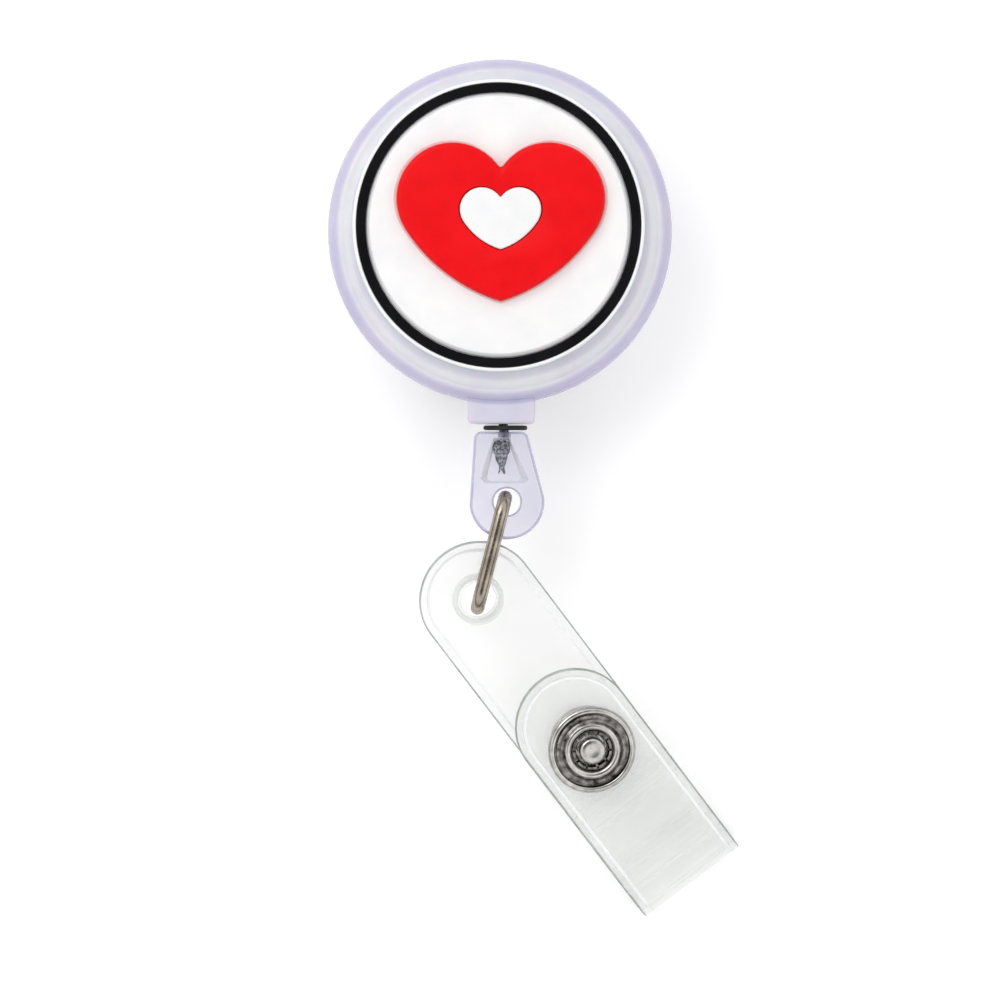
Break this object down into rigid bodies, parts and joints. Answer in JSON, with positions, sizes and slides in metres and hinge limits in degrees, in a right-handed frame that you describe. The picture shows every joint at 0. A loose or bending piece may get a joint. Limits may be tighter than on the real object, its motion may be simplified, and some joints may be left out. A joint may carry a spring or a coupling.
{
  "type": "retractable badge reel",
  "caption": "Round retractable reel with a back clip, a face charm, a pull-out cord, a wire link and a clear strap that folds over and closes with a snap.",
  "frame": {"origin": "on the flat underside of the clip, on the axis of the casing and of the clip's swivel", "axes": "+Z out of the reel's face, +Y from the cord exit across the casing, so the cord pulls out towards -Y"},
  "size_m": [0.0386, 0.0804, 0.0154],
  "materials": {
    "shell_plastic": "moulded, slightly translucent pale lilac",
    "spool_plastic": "moulded white nylon",
    "spring_steel": "bare spring steel",
    "cord_fibre": "braided polyester cord, dark grey",
    "nickel": "nickel plated steel, polished",
    "nylon": "white nylon",
    "charm_white": "moulded soft resin, satin white",
    "charm_black": "moulded soft resin, black",
    "charm_red": "moulded soft resin, red",
    "black_rubber": "black rubber",
    "clear_lilac": "clear plastic with a lilac tint",
    "clear_vinyl": "clear flexible vinyl",
    "snap_metal": "nickel plated brass, worn bright"
  },
  "bodies": {
    "casing": {"front_shell": "shell_plastic", "back_shell": "shell_plastic", "swivel_rivet": "nickel", "swivel_washer": "nylon", "cord_lead": "cord_fibre", "charm_base": "charm_white", "charm_ring": "charm_black", "charm_motif": "charm_red", "charm_inlay": "charm_white"},
    "spool": {"spool": "spool_plastic", "power_spring": "spring_steel", "cord_winding": "cord_fibre"},
    "clip": {"clip_plate": "nickel", "clip_hinge_pin": "nickel", "clip_spring": "spring_steel"},
    "jaw": {"clip_jaw": "nickel"},
    "tag": {"stop_washer": "black_rubber", "cord_tag": "clear_lilac", "cord_knot": "cord_fibre"},
    "link": {"link_ring": "nickel"},
    "strap": {"strap_back": "clear_vinyl", "strap_fold": "clear_vinyl", "strap_eyelet": "clear_vinyl", "snap_stud": "snap_metal", "snap_post": "snap_metal"},
    "flap": {"strap_flap": "clear_vinyl", "snap_cap": "snap_metal", "snap_socket": "snap_metal"}
  },
  "joints": [
    {"name": "cord_pull", "type": "slide", "parent": "casing", "child": "tag", "axis": [0, -1, 0], "range_m": [0, 0.6], "stiffness_N_per_m": 0.8, "springref_m": -0.5, "deforming": ["cord_lead"]},
    {"name": "spool_spin", "type": "hinge", "parent": "casing", "child": "spool", "pos_m": [0, 0, 0.0066], "axis": [0, 0, 1], "range_deg": [0, 3460], "deforming": ["power_spring"]},
    {"name": "clip_swivel", "type": "hinge", "parent": "casing", "child": "clip", "pos_m": [0, 0, 0.0042], "axis": [0, 0, 1], "continuous": true},
    {"name": "jaw_open", "type": "hinge", "parent": "clip", "child": "jaw", "pos_m": [0, 0.0046, 0.0021], "axis": [1, 0, 0], "range_deg": [0, 15], "stiffness_Nm_per_rad": 0.05, "springref_deg": -34.38, "deforming": ["clip_spring"]},
    {"name": "link_swing", "type": "hinge", "parent": "tag", "child": "link", "pos_m": [0.00065, -0.02515, 0.0084], "axis": [0, 0, 1], "range_deg": [-60, 88]},
    {"name": "strap_swing", "type": "hinge", "parent": "link", "child": "strap", "pos_m": [-0.00204, -0.03424, 0.0084], "axis": [0, 0, -1], "range_deg": [-34, 136]},
    {"name": "flap_open", "type": "hinge", "parent": "strap", "child": "flap", "pos_m": [0.01712, -0.05967, 0.00173], "axis": [0.7986, 0.6018, 0], "range_deg": [0, 150], "deforming": ["strap_fold"]}
  ],
  "couplings": [
    {"joint": "spool_spin", "follows": "cord_pull", "rad_per_m": 100.5}
  ]
}
